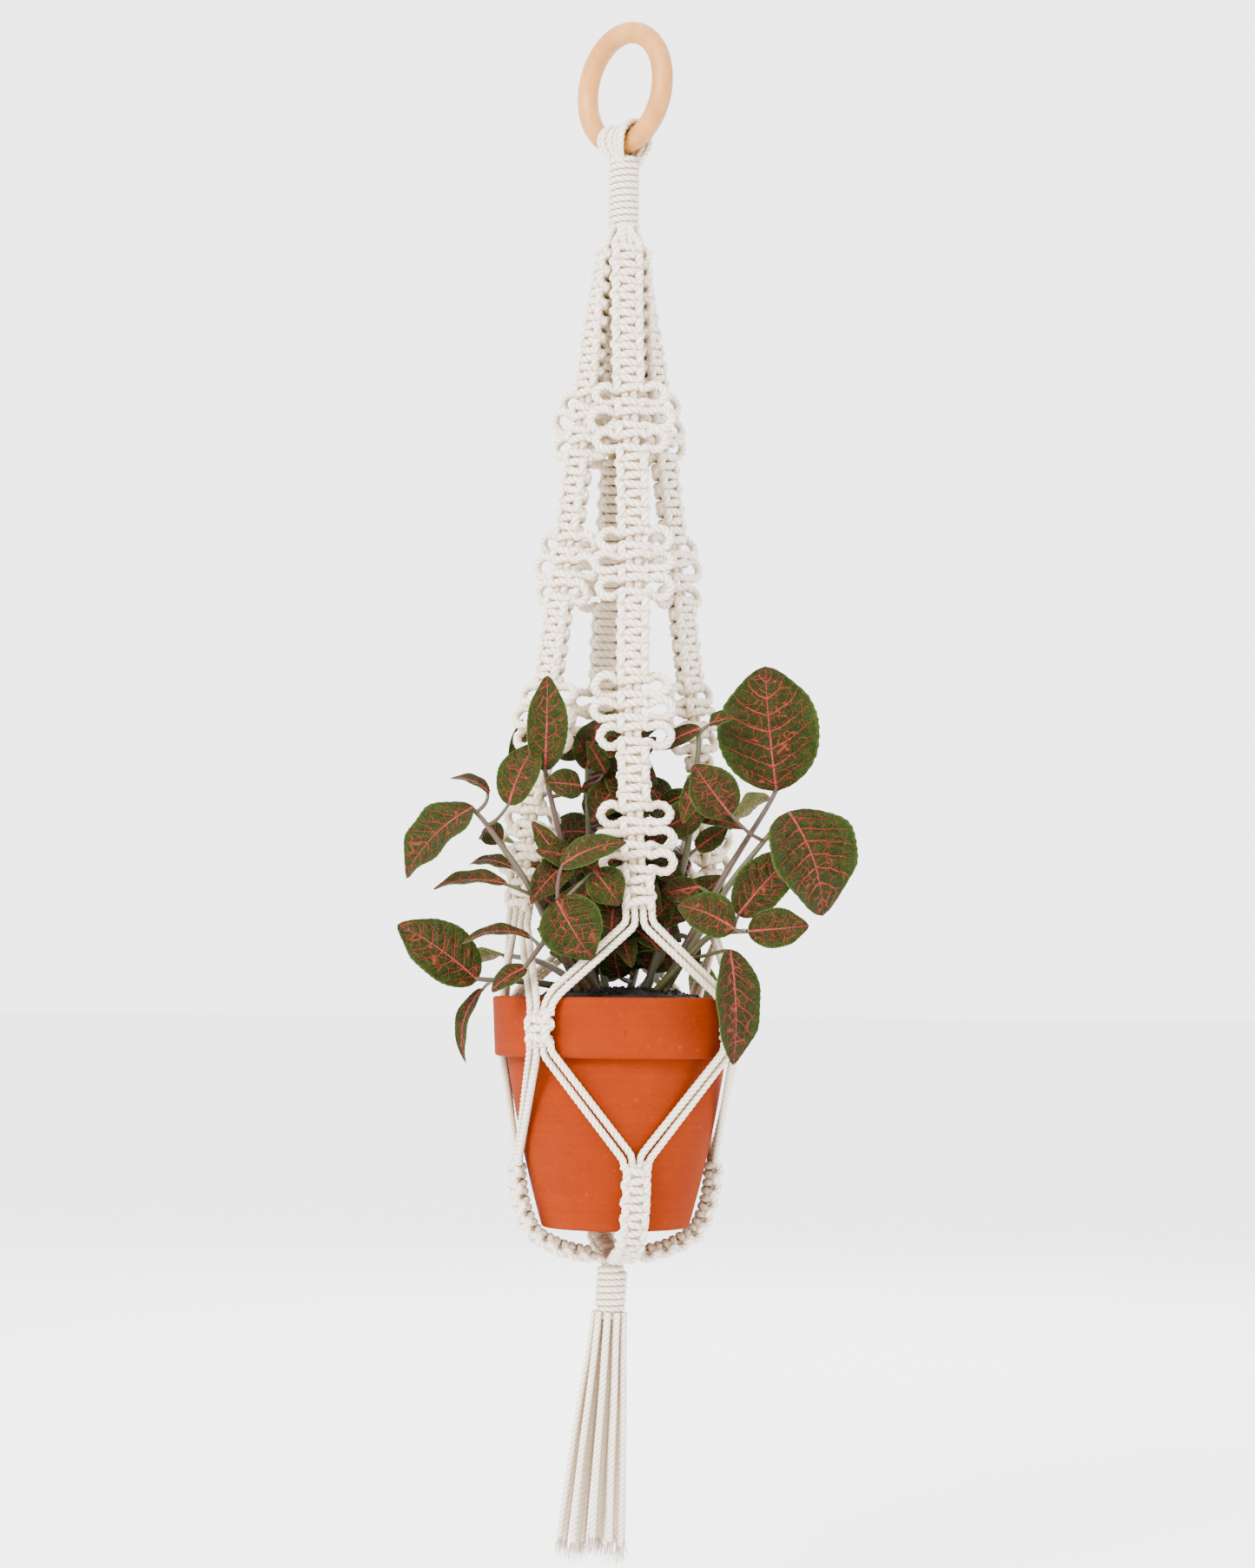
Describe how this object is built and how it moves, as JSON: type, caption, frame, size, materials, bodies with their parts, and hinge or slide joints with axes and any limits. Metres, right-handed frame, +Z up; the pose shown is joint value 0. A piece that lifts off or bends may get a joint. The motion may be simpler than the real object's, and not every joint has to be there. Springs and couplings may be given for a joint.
{
  "type": "hanging planter",
  "caption": "Knotted cotton cord hanger on a wooden ring, with picot arms, a net and a tassel, holding a potted plant in a terracotta pot.",
  "frame": {"origin": "the hook's seat, at the top inside of the wooden ring's hole", "axes": "+Z up along the hanging line; the front arm is at -Y and the right arm at +X"},
  "size_m": [0.2269, 0.1418, 0.796],
  "materials": {
    "cotton_cord": "matte",
    "light_wood": "satin",
    "terracotta": "matte",
    "soil": "matte",
    "stem": "satin",
    "leaf": "satin"
  },
  "bodies": {
    "ring": {"wooden_ring": "light_wood"},
    "hanger": {"hanging_loop": "cotton_cord", "top_wrap": "cotton_cord", "arm_front": "cotton_cord", "arm_right": "cotton_cord", "arm_back": "cotton_cord", "arm_left": "cotton_cord", "picots_front": "cotton_cord", "picots_right": "cotton_cord", "picots_back": "cotton_cord", "picots_left": "cotton_cord", "net_upper_front_a": "cotton_cord", "net_upper_front_b": "cotton_cord", "net_upper_right_a": "cotton_cord", "net_upper_right_b": "cotton_cord", "net_upper_back_a": "cotton_cord", "net_upper_back_b": "cotton_cord", "net_upper_left_a": "cotton_cord", "net_upper_left_b": "cotton_cord", "net_knot_front_right": "cotton_cord", "net_knot_right_back": "cotton_cord", "net_knot_back_left": "cotton_cord", "net_knot_left_front": "cotton_cord", "net_lower_front_a": "cotton_cord", "net_lower_front_b": "cotton_cord", "net_lower_right_a": "cotton_cord", "net_lower_right_b": "cotton_cord", "net_lower_back_a": "cotton_cord", "net_lower_back_b": "cotton_cord", "net_lower_left_a": "cotton_cord", "net_lower_left_b": "cotton_cord", "cradle_strap_front": "cotton_cord", "cradle_strap_right": "cotton_cord", "cradle_strap_back": "cotton_cord", "cradle_strap_left": "cotton_cord"},
    "planted_pot": {"pot": "terracotta", "soil": "soil", "stems": "stem", "leaves_left": "leaf", "leaves_middle": "leaf", "leaves_right": "leaf", "leaves_back": "leaf"},
    "tassel": {"gathered_core": "cotton_cord", "bottom_wrap": "cotton_cord", "tassel_strand_01": "cotton_cord", "tassel_strand_02": "cotton_cord", "tassel_strand_03": "cotton_cord", "tassel_strand_04": "cotton_cord", "tassel_strand_05": "cotton_cord", "tassel_strand_06": "cotton_cord", "tassel_strand_07": "cotton_cord", "tassel_strand_08": "cotton_cord", "tassel_strand_09": "cotton_cord", "tassel_strand_10": "cotton_cord", "tassel_strand_11": "cotton_cord", "tassel_strand_12": "cotton_cord", "tassel_strand_13": "cotton_cord", "tassel_strand_14": "cotton_cord", "tassel_strand_15": "cotton_cord", "tassel_strand_16": "cotton_cord"}
  },
  "joints": [
    {"name": "ring_swing", "type": "hinge", "parent": "ring", "child": "hanger", "pos_m": [0, 0, -0.0521], "axis": [0.515, -0.8572, 0], "range_deg": [-60, 60]},
    {"name": "pot_turn", "type": "hinge", "parent": "hanger", "child": "planted_pot", "pos_m": [0, 0, -0.6], "axis": [0, 0, 1], "range_deg": [-8, 8]},
    {"name": "tassel_swing", "type": "hinge", "parent": "hanger", "child": "tassel", "pos_m": [-0.001, 0, -0.636], "axis": [0, 1, 0], "range_deg": [-18, 18]}
  ]
}
